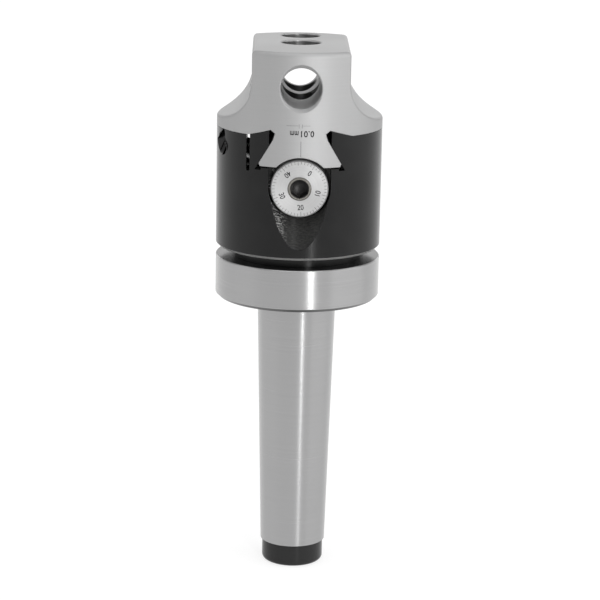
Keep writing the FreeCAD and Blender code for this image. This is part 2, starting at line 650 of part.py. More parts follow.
def dial_set_screw():
    """Small set screw that holds the dial on the adjusting screw."""
    tip = Vector(SCREW_RADIUS + SEAT_GAP, DIAL_SCREW_Y, SCREW_Z)
    length = DIAL_RADIUS - SCREW_RADIUS - DIAL_SCREW_INSET
    radius = DIAL_SCREW_RADIUS - SEAT_GAP
    head = tip + X_AXIS * length
    key = hexagon(DIAL_SCREW_SOCKET, head - X_AXIS * DIAL_SCREW_SOCKET, X_AXIS, DIAL_SCREW_SOCKET)
    return rod(radius, tip, head).cut(key)


def sub_parts():
    """Every solid of the boring head under its node name."""
    solids = {
        "head_body": head_body(),
        "taper_shank": taper_shank(),
        "shank_lock_pad": shank_lock_pad(),
        "shank_lock_screw": shank_lock_screw(),
        "tool_slide": tool_slide(),
        "feed_nut": feed_nut(),
        "nut_pin": nut_pin(),
        "adjusting_screw": adjusting_screw(),
        "graduated_dial": graduated_dial(),
        "dial_set_screw": dial_set_screw(),
        "screw_bush": screw_bush(),
        "thrust_washer_front": thrust_washer(front_washer_y()),
        "thrust_washer_rear": thrust_washer(collar_y() + COLLAR_WIDTH + END_PLAY),
        "lock_screw_front": lock_screw(-LOCK_SPACING / 2),
        "lock_screw_rear": lock_screw(LOCK_SPACING / 2),
    }
    for place, y in bar_screw_stations().items():
        solids["bar_screw_" + place] = bar_screw(y)
    return solids


os.makedirs("parts", exist_ok=True)
for name, solid in sub_parts().items():
    solid.exportStep("parts/" + name + ".step")
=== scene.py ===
import json
import logging
import math
from dataclasses import dataclass
from enum import Enum

import bpy
from mathutils import Matrix, Vector


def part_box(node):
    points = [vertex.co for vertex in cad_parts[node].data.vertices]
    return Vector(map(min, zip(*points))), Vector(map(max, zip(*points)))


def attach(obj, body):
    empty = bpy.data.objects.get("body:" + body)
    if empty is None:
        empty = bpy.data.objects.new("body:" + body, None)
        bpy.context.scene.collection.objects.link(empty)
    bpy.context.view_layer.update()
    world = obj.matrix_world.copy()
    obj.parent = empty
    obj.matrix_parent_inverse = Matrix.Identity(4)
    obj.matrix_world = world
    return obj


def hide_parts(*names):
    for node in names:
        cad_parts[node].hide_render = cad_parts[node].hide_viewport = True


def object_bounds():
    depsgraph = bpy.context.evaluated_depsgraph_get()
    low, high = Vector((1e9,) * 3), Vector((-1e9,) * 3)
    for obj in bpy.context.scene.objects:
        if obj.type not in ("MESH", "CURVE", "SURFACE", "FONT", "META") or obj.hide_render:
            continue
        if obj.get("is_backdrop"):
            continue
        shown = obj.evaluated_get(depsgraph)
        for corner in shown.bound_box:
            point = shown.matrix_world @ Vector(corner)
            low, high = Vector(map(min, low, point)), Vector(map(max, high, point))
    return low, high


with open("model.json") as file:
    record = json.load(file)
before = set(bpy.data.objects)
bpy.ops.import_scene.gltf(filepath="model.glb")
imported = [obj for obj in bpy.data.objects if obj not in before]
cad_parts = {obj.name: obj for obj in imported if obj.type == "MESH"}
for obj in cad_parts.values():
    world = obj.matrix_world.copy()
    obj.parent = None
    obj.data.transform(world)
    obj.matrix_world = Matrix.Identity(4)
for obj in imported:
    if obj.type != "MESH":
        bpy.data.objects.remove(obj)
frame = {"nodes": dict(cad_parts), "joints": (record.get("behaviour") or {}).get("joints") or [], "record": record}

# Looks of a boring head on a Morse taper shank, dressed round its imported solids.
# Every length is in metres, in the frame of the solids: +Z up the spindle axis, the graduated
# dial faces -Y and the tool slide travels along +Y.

LOG = logging.getLogger("boring_head")
MM = 0.001
KEY_POINT_INSET = 0.12   # of a hexagon socket's size, from its flats to its drill point
KEY_POINT_DEPTH = 0.22   # of a hexagon socket's size
SCOOP_RADIUS = 9.2 * MM  # also the dial pocket's
SCOOP_RISE = 1.4 * MM    # of the scoop's start over the dial's axis
SCOOP_FALL = math.radians(62.0)
BODY_FOOT = 20.8 * MM    # height of the body's lower end
Socket = bpy.types.NodeSocket
Value = float | Socket
Piece = bpy.types.Object
Finish = bpy.types.Material


class Cut(Enum):
    """What one solid does to another."""

    AWAY = "DIFFERENCE"
    COMMON = "INTERSECT"


# ---------------------------------------------------------------- where things are


@dataclass(frozen=True)
class Axis:
    """A line in the row frame that a turned piece is built along.

    Args:
        origin: Point that the piece's own zero goes to.
        direction: Unit vector that the piece's own +Z goes to.
    """

    origin: Vector
    direction: Vector

    def place(self, along: float = 0.0) -> Matrix:
        """Matrix from a piece's own frame to the row frame, shifted along the axis."""
        turn = Vector((0, 0, 1)).rotation_difference(self.direction)
        return Matrix.Translation(self.origin + self.direction * along) @ turn.to_matrix().to_4x4()

    def station(self, node: str, far: bool) -> float:
        """How far along the axis a node of the frame begins or ends.

        Args:
            node: Name of the frame's node.
            far: Whether the far end is wanted, or the near one.

        Returns:
            Metres from the origin.
        """
        mesh = frame["nodes"][node].data
        places = [(vertex.co - self.origin).dot(self.direction) for vertex in mesh.vertices]
        return max(places) if far else min(places)


def stated_axis(entry: dict) -> Axis:
    """The axis that a joint or a mount of the record states."""
    return Axis(Vector(entry["pos_m"]), Vector(entry["axis"]).normalized())


def joint_axis(name: str) -> Axis:
    """The axis of a joint, looked up by its name."""
    return stated_axis(next(joint for joint in frame["joints"] if joint["name"] == name))


def mount(name: str) -> dict:
    """A mount of the record, looked up by its name."""
    return next(entry for entry in frame["record"]["mounts"] if entry["name"] == name)


def node_axis(node: str, direction: Vector) -> Axis:
    """An axis through the middle of a node's box.

    Args:
        node: Name of the frame's node.
        direction: Unit vector along the axis.

    Returns:
        The axis.
    """
    low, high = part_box(node)
    return Axis((low + high) / 2, direction)


# ---------------------------------------------------------------- modelling by operators


def deselect_all() -> None:
    """Leaves nothing selected and no active object."""
    if bpy.context.object and bpy.context.object.mode != "OBJECT":
        bpy.ops.object.mode_set(mode="OBJECT")
    bpy.ops.object.select_all(action="DESELECT")
    bpy.context.view_layer.objects.active = None


def only(piece: Piece) -> Piece:
    """Selects one object alone and makes it active."""
    deselect_all()
    piece.select_set(True)
    bpy.context.view_layer.objects.active = piece
    return piece


def edit_all() -> None:
    """Goes to edit mode with all of the active mesh selected."""
    bpy.ops.object.mode_set(mode="EDIT")
    bpy.ops.mesh.select_all(action="SELECT")


def close_edit() -> None:
    """Turns every face outwards and leaves edit mode."""
    bpy.ops.mesh.select_all(action="SELECT")
    bpy.ops.mesh.normals_make_consistent(inside=False)
    bpy.ops.object.mode_set(mode="OBJECT")


def thickened(height: float) -> None:
    """Raises what is selected along Z, closes the solid and leaves edit mode."""
    bpy.ops.mesh.extrude_region_move(TRANSFORM_OT_translate={"value": (0, 0, height)})
    close_edit()


def drawn_outline(points: list[tuple[float, float]]) -> Piece:
    """Open outline in the XZ plane, drawn by extruding one vertex from point to point.

    Args:
        points: (radius, height) pairs.

    Returns:
        A mesh object of edges only, left in edit mode with all of it selected.
    """
    deselect_all()
    corners = [Vector((radius, 0, height)) for radius, height in points]
    bpy.ops.mesh.primitive_plane_add(size=MM, location=corners[0])
    bpy.ops.object.transform_apply(location=True)
    edit_all()
    bpy.ops.mesh.merge(type="CENTER")
    for start, end in zip(corners, corners[1:]):
        bpy.ops.mesh.extrude_region_move(TRANSFORM_OT_translate={"value": end - start})
    bpy.ops.mesh.select_all(action="SELECT")
    return bpy.context.object


def turned(points: list[tuple[float, float]], steps: int) -> Piece:
    """Solid of revolution about Z from an outline, as from a lathe.

    Args:
        points: (radius, height) pairs; a radius of 0 closes an end.
        steps: Sides round the axis.

    Returns:
        The solid, in object mode.
    """
    piece = drawn_outline(points)
    bpy.ops.mesh.spin(steps=steps, angle=2 * math.pi, center=(0, 0, 0), axis=(0, 0, 1))
    bpy.ops.mesh.select_all(action="SELECT")
    bpy.ops.mesh.remove_doubles(threshold=0.0005 * MM)
    close_edit()
    return piece


def wound(points: list[tuple[float, float]], pitch: float, turns: int, steps: int) -> Piece:
    """Outline wound along a helix about Z, with successive turns joined.

    Args:
        points: (radius, height) pairs.
        pitch: Rise of one turn.
        turns: Number of turns.
        steps: Sides to a turn.

    Returns:
        The wound surface, in object mode.
    """
    piece = drawn_outline(points)
    bpy.ops.object.mode_set(mode="OBJECT")
    helix = piece.modifiers.new("helix", "SCREW")
    helix.axis = "Z"
    helix.angle = 2 * math.pi
    helix.screw_offset = pitch
    helix.iterations = turns
    helix.steps = steps
    helix.render_steps = steps
    helix.use_merge_vertices = True
    helix.merge_threshold = 0.002 * MM
    bpy.ops.object.modifier_apply(modifier=helix.name)
    edit_all()
    bpy.ops.mesh.remove_doubles(threshold=0.002 * MM)
    bpy.ops.object.mode_set(mode="OBJECT")
    return piece


def faced_off(piece: Piece, height: float, upwards: bool) -> None:
    """Cuts a piece square to Z and closes the cut.

    Args:
        piece: The piece, in object mode.
        height: Height of the cut.
        upwards: Whether what stands above the cut is taken away, or what is below it.
    """
    only(piece)
    edit_all()
    bpy.ops.mesh.bisect(
        plane_co=(0, 0, height), plane_no=(0, 0, 1), use_fill=True,
        clear_outer=upwards, clear_inner=not upwards, threshold=0.0001 * MM,
    )
    close_edit()


def bored(piece: Piece, cutter: Piece, kind: Cut = Cut.AWAY) -> None:
    """Cuts one solid with another and removes the cutter.

    Args:
        piece: The solid that stays.
        cutter: The solid that is used up.
        kind: Whether the cutter is taken away, or only what both share is kept.
    """
    only(piece)
    cut = piece.modifiers.new("cut", "BOOLEAN")
    cut.operation = kind.value
    cut.solver = "EXACT"
    cut.object = cutter
    bpy.ops.object.modifier_apply(modifier=cut.name)
    bpy.data.objects.remove(cutter)


def hexagon_cutter(across_flats: float, bottom: float, top: float) -> Piece:
    """Hexagonal key form about Z, with a drill point at its bottom.

    Args:
        across_flats: Key size.
        bottom: Height of the socket's floor.
        top: Height of the cutter's top.

    Returns:
        The cutter.
    """
    deselect_all()
    radius = across_flats / math.sqrt(3.0)
    bpy.ops.mesh.primitive_cylinder_add(
        vertices=6, radius=radius, depth=top - bottom, location=(0, 0, (top + bottom) / 2),
    )
    bpy.ops.object.transform_apply(location=True)
    key = bpy.context.object
    bpy.ops.object.mode_set(mode="EDIT")
    bpy.ops.mesh.select_mode(type="FACE")
    bpy.ops.mesh.select_all(action="DESELECT")
    bpy.ops.object.mode_set(mode="OBJECT")
    for face in key.data.polygons:
        face.select = face.normal.z < -0.9
    bpy.ops.object.mode_set(mode="EDIT")
    bpy.ops.mesh.inset(thickness=KEY_POINT_INSET * across_flats)
    drop = -KEY_POINT_DEPTH * across_flats
    bpy.ops.mesh.extrude_region_move(TRANSFORM_OT_translate={"value": (0, 0, drop)})
    bpy.ops.mesh.merge(type="CENTER")
    bpy.ops.mesh.select_mode(type="VERT")
    bpy.ops.object.mode_set(mode="OBJECT")
    return key


def smoothed(piece: Piece, degrees: float) -> Piece:
    """Shades faces smoothly where they meet at less than an angle."""
    only(piece)
    bpy.ops.object.shade_smooth_by_angle(angle=math.radians(degrees))
    return piece


def put(piece: Piece, place: Matrix) -> Piece:
    """Moves a piece to its place and writes the place into its mesh."""
    piece.matrix_world = place @ piece.matrix_basis
    only(piece)
    bpy.ops.object.transform_apply(location=True, rotation=True, scale=True)
    return piece


def joined(parts: list[Piece]) -> Piece:
    """Joins several meshes into the first of them."""
    deselect_all()
    for part in parts:
        part.select_set(True)
    bpy.context.view_layer.objects.active = parts[0]
    bpy.ops.object.join()
    return bpy.context.object


def lettered(words: str, height: float, thickness: float, weight: float,
             spacing: float = 1.0) -> Piece:
    """Generic numbers or letters as a thin solid in the XY plane, centred on the origin.

    Args:
        words: What is written.
        height: Height of a capital.
        thickness: Thickness of the ink or the cut.
        weight: How far the strokes are widened on each side.
        spacing: Spacing of the letters, 1 for the usual one.

    Returns:
        A mesh object.
    """
    deselect_all()
    bpy.ops.object.text_add()
    text = bpy.context.object
    text.data.body = words
    text.data.align_x = "CENTER"
    text.data.align_y = "CENTER"
    text.data.size = height / 0.7
    text.data.resolution_u = 4
    text.data.offset = weight
    text.data.space_character = spacing
    bpy.ops.object.convert(target="MESH")
    piece = bpy.context.object
    edit_all()
    bpy.ops.mesh.remove_doubles(threshold=0.001 * MM)
    bpy.ops.mesh.normals_make_consistent(inside=False)
    thickened(thickness)
    return piece


# ---------------------------------------------------------------- finishes


class ShaderTree:
    """Node tree of one finish, with short calls that add and join its nodes."""

    def __init__(self, name: str) -> None:
        """Starts a material with its Principled shader.

        Args:
            name: The material's name.
        """
        self.material = bpy.data.materials.new(name)
        self.material.use_nodes = True
        self.nodes = self.material.node_tree.nodes
        self.links = self.material.node_tree.links
        self.surface = self.nodes["Principled BSDF"]
        self._position: Socket | None = None

    def node(self, kind: str, *inputs: Value | Vector | tuple | None,
             **settings: object) -> bpy.types.Node:
        """Adds a node.

        Args:
            kind: Type name of the node, without its ShaderNode prefix.
            inputs: Values or sockets for its inputs in order; None leaves one alone.
            settings: Properties of the node.

        Returns:
            The node.
        """
        made = self.nodes.new("ShaderNode" + kind)
        for key, value in settings.items():
            setattr(made, key, value)
        for target, value in zip(made.inputs, inputs):
            self.feed(target, value)
        return made

    def feed(self, target: Socket, value: object) -> None:
        """Links a socket to an input, or writes a plain value into it."""
        if isinstance(value, Socket):
            self.links.new(value, target)
        elif value is not None:
            target.default_value = value

    def into(self, node: bpy.types.Node, **inputs: object) -> bpy.types.Node:
        """Sets or links a node's inputs by name, with _ for each space in a name."""
        for key, value in inputs.items():
            self.feed(node.inputs[key.replace("_", " ")], value)
        return node

    def set(self, **inputs: object) -> None:
        """Sets or links inputs of the Principled shader."""
        self.into(self.surface, **inputs)

    def position(self) -> Socket:
        """Object coordinates, in metres of the row frame."""
        if self._position is None:
            self._position = self.node("TexCoord").outputs["Object"]
        return self._position

    def axis_value(self, letter: str) -> Socket:
        """One of the coordinates x, y or z."""
        return self.node("SeparateXYZ", self.position()).outputs["XYZ".index(letter.upper())]

    def math(self, operation: str, *values: Value) -> Socket:
        """Result of a Math node."""
        return self.node("Math", *values, operation=operation).outputs[0]

    def times(self, first: Value, second: Value) -> Socket:
        """Product of two numbers."""
        return self.math("MULTIPLY", first, second)

    def weighed(self, first: Socket, share: float, second: Socket, other: float) -> Socket:
        """Sum of two numbers, each times its own share."""
        return self.math("ADD", self.times(first, share), self.times(second, other))

    def vector(self, operation: str, *values: object) -> bpy.types.Node:
        """A Vector Math node."""
        return self.node("VectorMath", *values, operation=operation)

    def band(self, value: Value, start: float, end: float) -> Socket:
        """Rises smoothly from 0 at start to 1 at end, or falls where end is lower."""
        made = self.node("MapRange", interpolation_type="SMOOTHSTEP")
        return self.into(made, Value=value, From_Min=start, From_Max=end).outputs["Result"]

    def scaled(self, x: float, y: float, z: float) -> Socket:
        """Object coordinates stretched along each axis."""
        return self.vector("MULTIPLY", self.position(), (x, y, z)).outputs[0]

    def noise(self, where: Socket, scale: float, detail: float, rough: float = 0.55) -> Socket:
        """Noise from 0 to 1 at a place."""
        made = self.node("TexNoise")
        self.into(made, Vector=where, Scale=scale, Detail=detail, Roughness=rough)
        return made.outputs["Fac"]

    def blend(self, amount: Value, first: object, second: object) -> Socket:
        """Colour between two, from the first at 0 to the second at 1."""
        unused = [None] * 5
        return self.node("Mix", amount, *unused, first, second, data_type="RGBA").outputs[2]

    def between(self, amount: Value, first: Value, second: Value) -> Socket:
        """Number between two, from the first at 0 to the second at 1."""
        return self.node("Mix", amount, None, first, second, data_type="FLOAT").outputs[0]

    def relief(self, height: Socket, depth: float, strength: float, edge: float) -> None:
        """Bump from a height map, over edges that look rounded.

        Args:
            height: Height from 0 to 1.
            depth: Depth of the relief.
            strength: Strength of the bump.
            edge: Radius of the rounded edges.
        """
        corner = self.node("Bevel", edge, samples=6).outputs[0]
        bump = self.node("Bump")
        self.into(bump, Strength=strength, Distance=depth, Height=height, Normal=corner)
        self.set(Normal=bump.outputs[0])

    def across(self, axis: Axis) -> Socket:
        """Arm from an axis to the place, a quarter turn round the axis."""
        arm = self.vector("SUBTRACT", self.position(), axis.origin)
        return self.vector("CROSS_PRODUCT", tuple(axis.direction), arm.outputs[0]).outputs[0]

    def around(self, axis: Axis) -> Socket:
        """Direction round an axis, for the lie of turned or brushed lines."""
        return self.vector("NORMALIZE", self.across(axis)).outputs[0]

    def radius(self, axis: Axis) -> Socket:
        """Distance from an axis."""
        return self.vector("LENGTH", self.across(axis)).outputs[1]


def grey(shade: float) -> tuple[float, float, float, float]:
    """An opaque grey."""
    return (shade, shade, shade, 1)


SPINDLE = Axis(Vector((0, 0, 0)), Vector((0, 0, 1)))


@dataclass(frozen=True)
class GroundSteel:
    """Ground shank and flange: bright fine rings, with a dark soft end below the taper and painted shade on the
    flange's underside and lower chamfer.

    Args:
        shade: Base colour of the ground steel.
        dark: Base colour of the blackened end.
        dark_below: Height under which the shank is black.
        chamfer_top: Height of the flange's lower chamfer, where the painted shade ends.
        flange_top: Height of the flange's black upper face.
    """

    shade: float = 0.38
    dark: float = 0.018
    dark_below: float = -74.1 * MM
    chamfer_top: float = 5.95 * MM
    flange_top: float = 17.79 * MM

    def make(self) -> Finish:
        """Builds the material."""
        tree = ShaderTree("ground_steel")
        height = tree.axis_value("z")
        fine = tree.noise(tree.scaled(20, 20, 6500), 1.0, 2.0)
        coarse = tree.noise(tree.scaled(9, 9, 1400), 1.0, 2.0)
        lines = tree.weighed(fine, 0.8, coarse, 0.2)
        cloud = tree.noise(tree.position(), 45.0, 2.0)
        tone = tree.weighed(lines, 0.9, cloud, 0.25)
        light, deep = self.shade * 1.04, self.shade * 0.95
        steel = tree.blend(tree.band(tone, 0.3, 0.85), (deep, deep, deep * 1.005, 1), grey(light))
        end = tree.band(height, self.dark_below + 0.15 * MM, self.dark_below)
        # painted shade: the flange's underside and lower chamfer are greyed to 0.12, standing in for the dark
        # underside they reflect
        under = tree.times(tree.band(height, self.chamfer_top, self.chamfer_top - 0.05 * MM),
                           tree.band(tree.radius(SPINDLE), 12.5 * MM, 12.6 * MM))
        steel_with_painted_shade = tree.blend(under, steel, grey(0.12))
        face = tree.band(height, self.flange_top - 0.08 * MM, self.flange_top)
        black = tree.math("MAXIMUM", end, face)
        colour = tree.blend(black, steel_with_painted_shade, grey(self.dark))
        tree.set(Base_Color=colour, Metallic=tree.between(black, 1.0, 0.0))
        tree.set(Roughness=tree.between(black, tree.between(lines, 0.26, 0.28), 0.24), IOR=1.32)
        tree.set(Anisotropic=0.85, Anisotropic_Rotation=0.25, Tangent=tree.around(SPINDLE))
        tree.relief(lines, 0.0002 * MM, 0.2, 0.15 * MM)
        return tree.material


@dataclass(frozen=True)
class SatinSteel:
    """Tool slide: fine ground steel, turned round its ends.

    Args:
        bores: Axes of the upright bores, from the front one to the rear one.
        bore_radius: Their radius.
        shade: Base colour.
        grain: Share by which the grain lightens and darkens it.
    """

    bores: tuple[Axis, Axis]
    bore_radius: float
    shade: float = 0.46
    grain: float = 0.025

    def make(self) -> Finish:
        """Builds the material."""
        tree = ShaderTree("satin_steel")
        rings = tree.noise(tree.scaled(60, 60, 3600), 1.0, 2.0)
        sand = tree.noise(tree.position(), 5200.0, 2.0)
        cloud = tree.noise(tree.position(), 60.0, 3.0)
        tone = tree.weighed(sand, 0.5, rings, 0.5)
        tone = tree.weighed(tone, 0.8, cloud, 0.3)
        deep = self.shade * (1 - self.grain)
        light = self.shade * (1 + self.grain)
        steel = tree.blend(tree.band(tone, 0.3, 0.8), grey(deep), (light, light, light * 1.005, 1))
        outer, inner = self.bore_radius + 0.07 * MM, self.bore_radius + 0.03 * MM
        bored = [tree.band(tree.radius(axis), outer, inner) for axis in self.bores]
        inside = tree.math("MAXIMUM", *bored)
        tree.set(Base_Color=tree.blend(inside, steel, grey(0.34)), Metallic=1.0)
        tree.set(Roughness=tree.between(inside, tree.between(cloud, 0.56, 0.64), 0.3))
        lie = tree.blend(bored[1], tree.around(self.bores[0]), tree.around(self.bores[1]))
        tree.set(Anisotropic=0.3, Anisotropic_Rotation=0.25, Tangent=lie)
        tree.relief(tone, 0.001 * MM, 0.4, 0.4 * MM)
        return tree.material


@dataclass(frozen=True)
class BlackOxide:
    """Blackened and polished body, with a rougher milled recess below the dial and a painted highlight along the
    top of its lower chamfer.

    Args:
        scoop: Axis of the milling cutter's run below the dial.
        dial: Axis of the dial's pocket.
        shade: Base colour of the polished skin.
        rough: Roughness of the polished skin.
        radius: Outside radius of the body.
        pocket_floor: Where the dial's pocket ends along Y.
    """

    scoop: Axis
    dial: Axis
    shade: float = 0.004
    rough: float = 0.22
    radius: float = 25.0 * MM
    pocket_floor: float = -16.5 * MM

    def make(self) -> Finish:
        """Builds the material."""
        tree = ShaderTree("black_steel")
        rings = tree.noise(tree.scaled(25, 25, 3000), 1.0, 3.0)
        cloud = tree.noise(tree.position(), 90.0, 4.0)
        inside = tree.band(tree.radius(SPINDLE), self.radius - 0.03 * MM, self.radius - 0.1 * MM)
        near = [tree.band(tree.radius(axis), SCOOP_RADIUS + 0.05 * MM, SCOOP_RADIUS)
                for axis in (self.scoop, self.dial)]
        front = tree.band(tree.axis_value("y"), self.pocket_floor + 0.2 * MM, self.pocket_floor)
        milled = tree.times(tree.math("MAXIMUM", *near), inside)
        milled = tree.times(milled, front)
        along = tree.vector("DOT_PRODUCT", tree.position(), tuple(self.scoop.direction)).outputs[1]
        scratch_place = tree.node("CombineXYZ", tree.times(tree.axis_value("x"), 900.0),
                                  tree.times(along, 2600.0), 0.0).outputs[0]
        scratches = tree.noise(scratch_place, 1.0, 5.0, 0.7)
        sparkle = tree.times(tree.band(scratches, 0.50, 0.60),
                             tree.band(tree.axis_value("x"), -3.0 * MM, -7.5 * MM))
        bright = tree.times(sparkle, milled)
        deep = (self.shade, self.shade, self.shade * 1.03, 1)
        lighter = grey(self.shade * 1.9)
        skin = tree.blend(tree.band(cloud, 0.35, 0.8), deep, lighter)
        mottled = tree.blend(tree.band(scratches, 0.35, 0.65),
                             grey(0.004), (0.024, 0.024, 0.023, 1))
        skin = tree.blend(milled, skin, mottled)
        # painted highlight: a thin bright metallic line along the top of the body's lower chamfer
        painted_edge_highlight = tree.times(
            tree.band(tree.axis_value("z"), BODY_FOOT + 0.85 * MM, BODY_FOOT + 0.7 * MM),
            tree.band(tree.radius(SPINDLE), self.radius - 0.9 * MM, self.radius - 0.8 * MM),
        )
        # bright now holds both the bare-metal scratches in the milled recess and the painted edge highlight
        bright = tree.math("MAXIMUM", bright, tree.times(painted_edge_highlight, tree.between(cloud, 0.25, 0.9)))
        skin = tree.blend(bright, skin, (0.62, 0.62, 0.61, 1))
        tree.set(Base_Color=skin, Metallic=tree.times(bright, 0.9))
        polish = tree.between(tree.band(rings, 0.3, 0.8), self.rough, self.rough * 1.12)
        tree.set(Roughness=tree.between(milled, polish, 0.42))
        tree.set(IOR=1.35, Anisotropic=0.7, Anisotropic_Rotation=0.25, Tangent=tree.around(SPINDLE))
        texture = tree.between(milled, tree.times(rings, 0.02), scratches)
        tree.relief(texture, 0.03 * MM, 0.6, 0.2 * MM)
        return tree.material


@dataclass(frozen=True)
class DialSteel:
    """Bright dial with fine turned rings.

    Args:
        shade: Base colour.
        axis: The dial's axis.
    """

    shade: float
    axis: Axis

    def make(self) -> Finish:
        """Builds the material."""
        tree = ShaderTree("dial_steel")
        radius = tree.radius(self.axis)
        place = tree.node("CombineXYZ", tree.times(radius, 6000.0),
                          tree.times(tree.axis_value("y"), 4000.0), 0.0).outputs[0]
        rings = tree.noise(place, 1.0, 2.0)
        cloud = tree.noise(tree.position(), 300.0, 2.0)
        deep, light = self.shade * 0.93, self.shade * 1.05
        tone = tree.weighed(rings, 0.7, cloud, 0.3)
        steel = tree.blend(tree.band(tone, 0.3, 0.7), grey(deep), grey(light))
        tree.set(Base_Color=steel, Metallic=0.85)
        tree.set(Roughness=tree.between(rings, 0.4, 0.5))
        tree.set(Anisotropic=0.4, Anisotropic_Rotation=0.25, Tangent=tree.around(self.axis))
        tree.relief(rings, 0.0015 * MM, 0.4, 0.08 * MM)
        return tree.material


@dataclass(frozen=True)
class PlainMetal:
    """A metal of even colour with a fine grain and small stains.

    Args:
        name: Name of the material.
        colour: Base colour.
        metallic: 1 for bare metal, less for a blackened one.
        rough: Roughness.
        grain: Grains to a metre.
    """

    name: str
    colour: tuple[float, float, float]
    metallic: float
    rough: float
    grain: float = 2600.0

    def make(self) -> Finish:
        """Builds the material."""
        tree = ShaderTree(self.name)
        grain = tree.noise(tree.position(), self.grain, 3.0)
        stain = tree.noise(tree.position(), 350.0, 2.0)
        deep = tuple(part * 0.8 for part in self.colour) + (1,)
        light = tuple(min(1.0, part * 1.12) for part in self.colour) + (1,)
        colour = tree.blend(tree.band(stain, 0.3, 0.7), deep, light)
        tree.set(Base_Color=colour, Metallic=self.metallic)
        tree.set(Roughness=tree.between(grain, self.rough * 0.85, self.rough * 1.2))
        tree.relief(grain, 0.002 * MM, 0.4, 0.05 * MM)
        return tree.material


@dataclass(frozen=True)
class KeyedEnd:
    """Turned steel end of the adjusting screw, with painted shade inside its hexagon socket.

    Args:
        axis: The screw's axis.
        dark_radius: Radius of the socket's painted shade.
    """

    axis: Axis
    dark_radius: float

    def make(self) -> Finish:
        """Builds the material."""
        tree = ShaderTree("screw_ring")
        # painted shade: inside this radius the hexagon socket is coloured near black, standing in for the shade
        # deep inside it
        socket = tree.band(tree.radius(self.axis), self.dark_radius + 0.12 * MM, self.dark_radius)
        smear = tree.noise(tree.position(), 700.0, 3.0)
        bright = tree.blend(smear, (0.14, 0.135, 0.12, 1), (0.26, 0.25, 0.23, 1))
        tree.set(Base_Color=tree.blend(socket, bright, (0.012, 0.011, 0.010, 1)))
        tree.set(Metallic=tree.between(socket, 1.0, 0.25), Roughness=tree.between(smear, 0.3, 0.45))
        tree.relief(smear, 0.01 * MM, 0.5, 0.08 * MM)
        return tree.material


@dataclass(frozen=True)
class EtchedInk:
    """Dark etched lines and numbers.

    Args:
        shade: Base colour.
    """

    shade: float = 0.02

    def make(self) -> Finish:
        """Builds the material."""
        tree = ShaderTree("etched_ink")
        speck = tree.noise(tree.position(), 9000.0, 2.0)
        dark, worn = self.shade, self.shade * 2.2
        tree.set(Base_Color=tree.blend(tree.band(speck, 0.45, 0.8), grey(dark), grey(worn)))
        tree.set(Roughness=0.7)
        return tree.material


class Finishes:
    """Every material of the head, made once and looked up by its slot."""

    def __init__(self) -> None:
        """Makes the materials from the frame's own axes and sizes."""
        dial = joint_axis("feed_screw_turn")
        scoop_start = Vector((0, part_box("head_body")[0].y, dial.origin.z + SCOOP_RISE))
        scoop = Axis(scoop_start, Vector((0, -math.cos(SCOOP_FALL), -math.sin(SCOOP_FALL))))
        bores = (stated_axis(mount("centre_bar_bore")), stated_axis(mount("offset_bar_bore")))
        bore_radius = mount("centre_bar_bore")["dims"]["r_mm"] * MM
        self.table: dict[str, Finish] = {
            "ground_steel": GroundSteel().make(),
            "satin_steel": SatinSteel(bores, bore_radius).make(),
            "black_steel": BlackOxide(scoop, dial).make(),
            "dial_steel": DialSteel(0.48, dial).make(),
            "screw_steel": PlainMetal("screw_steel", (0.035, 0.035, 0.037), 0.5, 0.36).make(),
            "screw_ring": KeyedEnd(dial, 2.72 * MM).make(),
            "point_steel": PlainMetal("point_steel", (0.62, 0.62, 0.62), 1.0, 0.3).make(),
            "bronze": PlainMetal("bronze", (0.52, 0.33, 0.15), 1.0, 0.35).make(),
            "brass": PlainMetal("brass", (0.66, 0.50, 0.22), 1.0, 0.32).make(),
            "etched_ink": EtchedInk().make(),
        }

    def dress_frame(self) -> None:
        """Gives each node of the frame the finish of its slot."""
        for part in frame["record"]["subparts"]:
            node = frame["nodes"][part["node"]]
            node.data.materials.clear()
            node.data.materials.append(self.table[part["material_slot"]])

    def finish(self, piece: Piece, name: str, body: str, slot: str,
               material: str = "") -> Piece:
        """Names a new piece, gives it its material and joins it to its body.

        Args:
            piece: The piece, in its place.
            name: Its name.
            body: Name of the frame's body that it moves with.
            slot: The record's material slot that it belongs to.
            material: Name of its material, if it isn't the slot's.

        Returns:
            The piece.
        """
        piece.name = name
        piece.data.name = name
        piece.data.materials.clear()
        piece.data.materials.append(self.table[material or slot])
        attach(piece, body)
        LOG.info("%s: %d faces, rides on %s", name, len(piece.data.polygons), body)
        return piece


# ---------------------------------------------------------------- sub-assemblies


